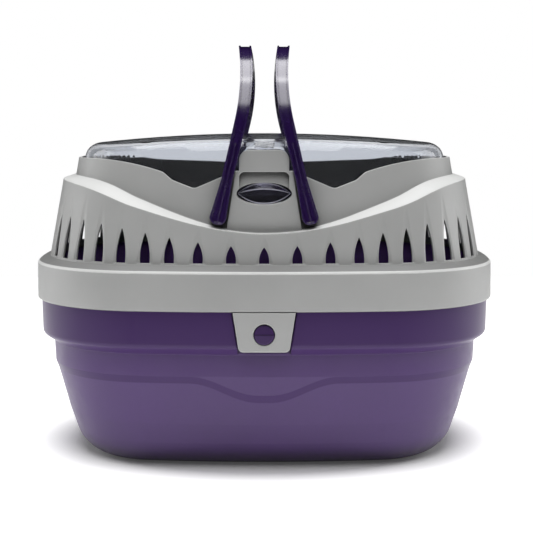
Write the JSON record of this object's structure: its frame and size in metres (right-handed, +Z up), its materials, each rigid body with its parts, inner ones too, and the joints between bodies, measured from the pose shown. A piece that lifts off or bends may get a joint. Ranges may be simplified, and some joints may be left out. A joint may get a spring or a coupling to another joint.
{
  "type": "small animal carrier",
  "caption": "Small animal carrier: rounded tub, vented clip-on cover, clear hinged lid, push-button latches and folding bail handles.",
  "frame": {"origin": "middle of the floor outline, on the plane that the tub stands on", "axes": "+X along the length to the viewer's right, +Y from the front to the rear, +Z up"},
  "size_m": [0.4062, 0.3076, 0.3581],
  "materials": {
    "tub_plastic": "purple satin moulding",
    "cover_plastic": "grey satin moulding",
    "lid_plastic": "clear smoked moulding",
    "handle_plastic": "violet gloss moulding",
    "spring_steel": "plain steel"
  },
  "bodies": {
    "base": {"base_tub": "tub_plastic", "front_button_housing": "tub_plastic", "rear_button_housing": "tub_plastic", "front_button_spring": "spring_steel", "rear_button_spring": "spring_steel"},
    "cover": {"cover_shell": "cover_plastic", "front_latch_tab": "cover_plastic", "rear_latch_tab": "cover_plastic", "lid_hinge_pin": "spring_steel"},
    "lid": {"lid_shell": "lid_plastic", "lid_latch_tongue": "lid_plastic"},
    "left_handle": {"handle_left": "handle_plastic", "handle_left_pins": "cover_plastic"},
    "right_handle": {"handle_right": "handle_plastic", "handle_right_pins": "cover_plastic"},
    "front_release": {"front_button": "tub_plastic"},
    "rear_release": {"rear_button": "tub_plastic"}
  },
  "joints": [
    {"name": "cover_lift", "type": "slide", "parent": "base", "child": "cover", "axis": [0, 0, 1], "range_m": [0, 0.12], "deforming": ["front_latch_tab", "rear_latch_tab"]},
    {"name": "lid_hinge", "type": "hinge", "parent": "cover", "child": "lid", "pos_m": [0, 0.105, 0.25], "axis": [-1, 0, 0], "range_deg": [0, 16], "deforming": ["lid_latch_tongue"]},
    {"name": "left_handle_fold", "type": "hinge", "parent": "cover", "child": "left_handle", "pos_m": [-0.0374, 0, 0.217], "axis": [0, -1, 0], "range_deg": [0, 82]},
    {"name": "right_handle_fold", "type": "hinge", "parent": "cover", "child": "right_handle", "pos_m": [0.0374, 0, 0.217], "axis": [0, 1, 0], "range_deg": [0, 82]},
    {"name": "front_button_press", "type": "slide", "parent": "base", "child": "front_release", "axis": [0, 1, 0], "range_m": [0, 0.004], "stiffness_N_per_m": 800, "deforming": ["front_button_spring"]},
    {"name": "rear_button_press", "type": "slide", "parent": "base", "child": "rear_release", "axis": [0, -1, 0], "range_m": [0, 0.004], "stiffness_N_per_m": 800, "deforming": ["rear_button_spring"]}
  ]
}
